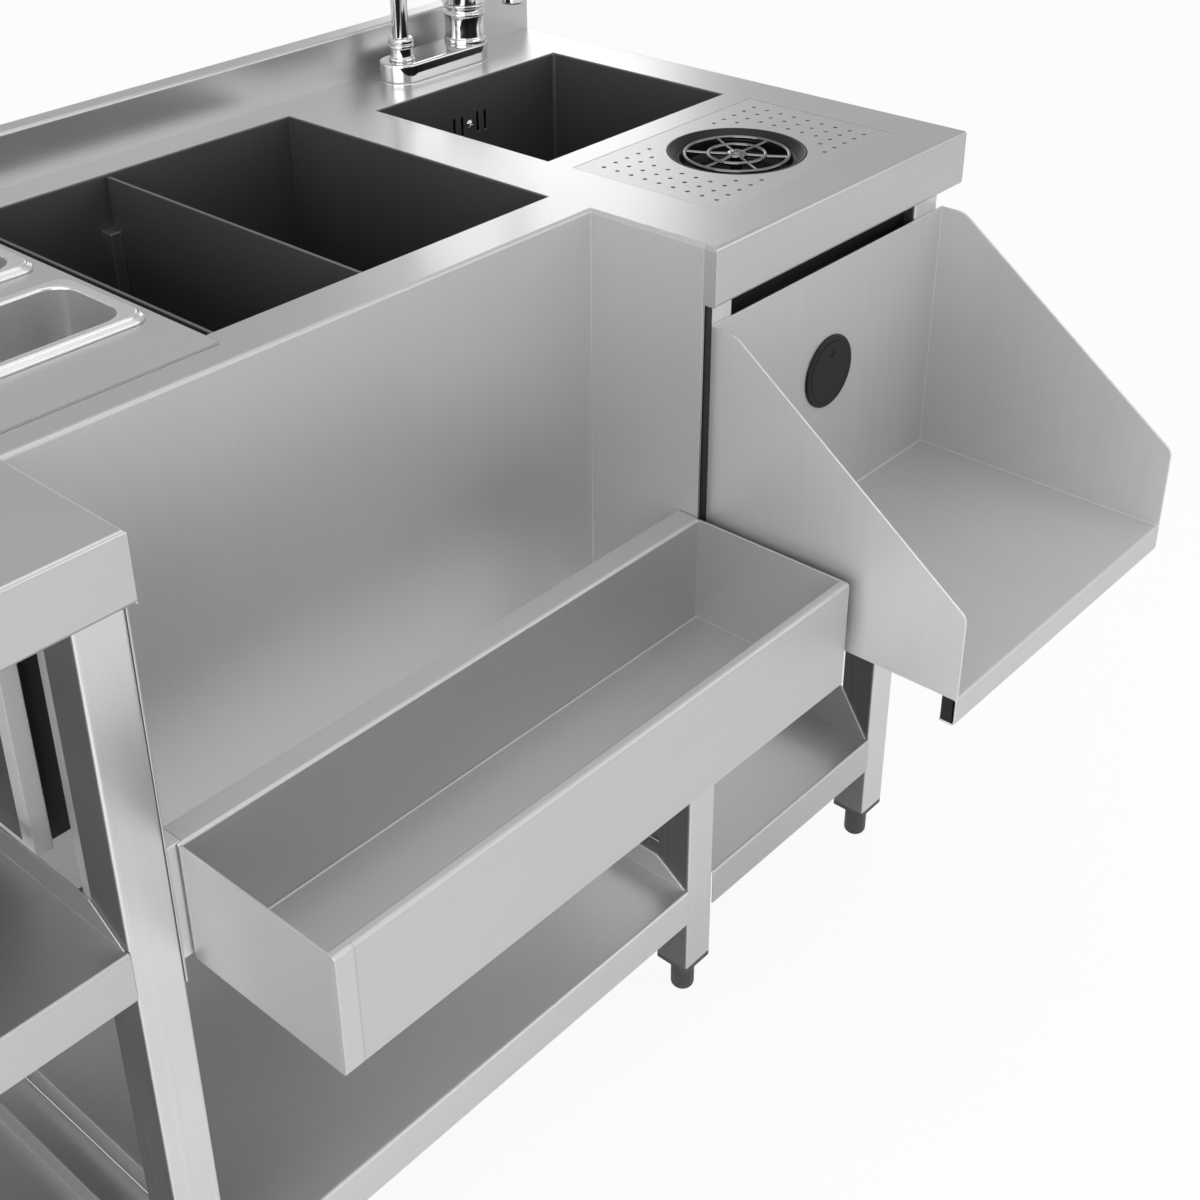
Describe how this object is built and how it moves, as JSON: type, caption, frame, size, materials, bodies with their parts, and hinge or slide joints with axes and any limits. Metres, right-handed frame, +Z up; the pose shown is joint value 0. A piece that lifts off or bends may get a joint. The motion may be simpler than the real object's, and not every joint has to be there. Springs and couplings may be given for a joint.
{
  "type": "bar sink with ice bin",
  "caption": "Free-standing stainless bar station: insulated ice bin with garnish pans, sink with mixer tap, glass rinser drip tray, bottle rail and blender shelf on open legs.",
  "frame": {"origin": "bottom centre of the whole station's bounding box, on the floor", "axes": "+X along the station towards the sink and the blender shelf, +Y from the bartender's side to the back, +Z up"},
  "size_m": [1.415, 0.892, 1.1675],
  "materials": {
    "brushed_stainless": "brushed",
    "satin_stainless": "satin",
    "dark_stainless": "satin",
    "chrome": "polished",
    "black_plastic": "satin",
    "white_plastic": "satin",
    "foam": "matte",
    "brass": "plain"
  },
  "bodies": {
    "station": {"worktop": "brushed_stainless", "splashback": "brushed_stainless", "recess_panel": "brushed_stainless", "back_panel": "brushed_stainless", "deck_stiffeners": "brushed_stainless", "bin_liner": "dark_stainless", "bin_foam": "foam", "bin_casing": "brushed_stainless", "bin_stays": "brushed_stainless", "bin_drain": "chrome", "divider_guides": "dark_stainless", "sink_bowl": "dark_stainless", "overflow_screw": "chrome", "overflow_box": "black_plastic", "sink_waste": "chrome", "sink_trap": "white_plastic", "drip_basin": "satin_stainless", "drip_drain": "chrome", "rinser_body": "black_plastic", "rinser_inlet": "black_plastic", "tap_base": "chrome", "tap_collar": "chrome", "tap_valve": "chrome", "tap_shanks": "brass", "rail_bar": "brushed_stainless", "blender_shelf": "brushed_stainless", "shelf_rail": "brushed_stainless", "grommet_body": "black_plastic", "leg_front_1": "brushed_stainless", "leg_front_2": "brushed_stainless", "leg_front_3": "brushed_stainless", "leg_front_4": "brushed_stainless", "legs_rear": "brushed_stainless", "leg_caps": "black_plastic", "undershelf_left": "brushed_stainless", "undershelf_middle": "brushed_stainless", "undershelf_right": "brushed_stainless", "middle_shelf": "brushed_stainless"},
    "divider": {"divider": "dark_stainless"},
    "partition": {"partition": "dark_stainless"},
    "pan_holder": {"pan_holder": "satin_stainless"},
    "pan_front": {"pan_front": "satin_stainless"},
    "pan_back": {"pan_back": "satin_stainless"},
    "sink_strainer": {"sink_strainer": "chrome"},
    "drip_plate": {"drip_plate": "satin_stainless"},
    "rinser_star": {"rinser_star": "chrome"},
    "tap_spout": {"tap_spout": "chrome", "tap_aerator": "chrome"},
    "tap_cap": {"tap_cap": "chrome"},
    "tap_lever": {"tap_lever": "chrome"},
    "speed_rail": {"speed_rail": "brushed_stainless"},
    "grommet_cap": {"grommet_cap": "black_plastic"},
    "foot_front_1": {"foot_front_1": "black_plastic"},
    "foot_front_2": {"foot_front_2": "black_plastic"},
    "foot_front_3": {"foot_front_3": "black_plastic"},
    "foot_front_4": {"foot_front_4": "black_plastic"},
    "foot_rear_1": {"foot_rear_1": "black_plastic"},
    "foot_rear_2": {"foot_rear_2": "black_plastic"},
    "foot_rear_3": {"foot_rear_3": "black_plastic"},
    "foot_rear_4": {"foot_rear_4": "black_plastic"}
  },
  "joints": [
    {"name": "divider_lift", "type": "slide", "parent": "station", "child": "divider", "axis": [0, 0, 1], "range_m": [0, 0.3]},
    {"name": "partition_lift", "type": "slide", "parent": "station", "child": "partition", "axis": [0, 0, 1], "range_m": [0, 0.3]},
    {"name": "pan_holder_lift", "type": "slide", "parent": "station", "child": "pan_holder", "axis": [0, 0, 1], "range_m": [0, 0.25]},
    {"name": "pan_front_lift", "type": "slide", "parent": "pan_holder", "child": "pan_front", "axis": [0, 0, 1], "range_m": [0, 0.15]},
    {"name": "pan_back_lift", "type": "slide", "parent": "pan_holder", "child": "pan_back", "axis": [0, 0, 1], "range_m": [0, 0.15]},
    {"name": "strainer_lift", "type": "slide", "parent": "station", "child": "sink_strainer", "axis": [0, 0, 1], "range_m": [0, 0.2]},
    {"name": "drip_plate_lift", "type": "slide", "parent": "station", "child": "drip_plate", "axis": [0, 0, 1], "range_m": [0, 0.06]},
    {"name": "rinser_press", "type": "slide", "parent": "station", "child": "rinser_star", "axis": [0, 0, -1], "range_m": [0, 0.006], "stiffness_N_per_m": 400, "springref_m": -0.005},
    {"name": "spout_swivel", "type": "hinge", "parent": "station", "child": "tap_spout", "pos_m": [0.4645, 0.381, 0.93], "axis": [0, 0, 1], "range_deg": [-60, 60]},
    {"name": "cap_turn", "type": "hinge", "parent": "station", "child": "tap_cap", "pos_m": [0.5625, 0.381, 0.975], "axis": [0, 0, 1], "range_deg": [-50, 50]},
    {"name": "lever_tilt", "type": "hinge", "parent": "tap_cap", "child": "tap_lever", "pos_m": [0.5625, 0.381, 0.9928], "axis": [-1, 0, 0], "range_deg": [0, 25]},
    {"name": "speed_rail_lift", "type": "slide", "parent": "station", "child": "speed_rail", "axis": [0, 0, 1], "range_m": [0, 0.15]},
    {"name": "grommet_cap_pull", "type": "slide", "parent": "station", "child": "grommet_cap", "axis": [0, -1, 0], "range_m": [0, 0.04]},
    {"name": "level_front_1", "type": "slide", "parent": "station", "child": "foot_front_1", "axis": [0, 0, -1], "range_m": [0, 0.03]},
    {"name": "level_front_2", "type": "slide", "parent": "station", "child": "foot_front_2", "axis": [0, 0, -1], "range_m": [0, 0.03]},
    {"name": "level_front_3", "type": "slide", "parent": "station", "child": "foot_front_3", "axis": [0, 0, -1], "range_m": [0, 0.03]},
    {"name": "level_front_4", "type": "slide", "parent": "station", "child": "foot_front_4", "axis": [0, 0, -1], "range_m": [0, 0.03]},
    {"name": "level_rear_1", "type": "slide", "parent": "station", "child": "foot_rear_1", "axis": [0, 0, -1], "range_m": [0, 0.03]},
    {"name": "level_rear_2", "type": "slide", "parent": "station", "child": "foot_rear_2", "axis": [0, 0, -1], "range_m": [0, 0.03]},
    {"name": "level_rear_3", "type": "slide", "parent": "station", "child": "foot_rear_3", "axis": [0, 0, -1], "range_m": [0, 0.03]},
    {"name": "level_rear_4", "type": "slide", "parent": "station", "child": "foot_rear_4", "axis": [0, 0, -1], "range_m": [0, 0.03]}
  ]
}
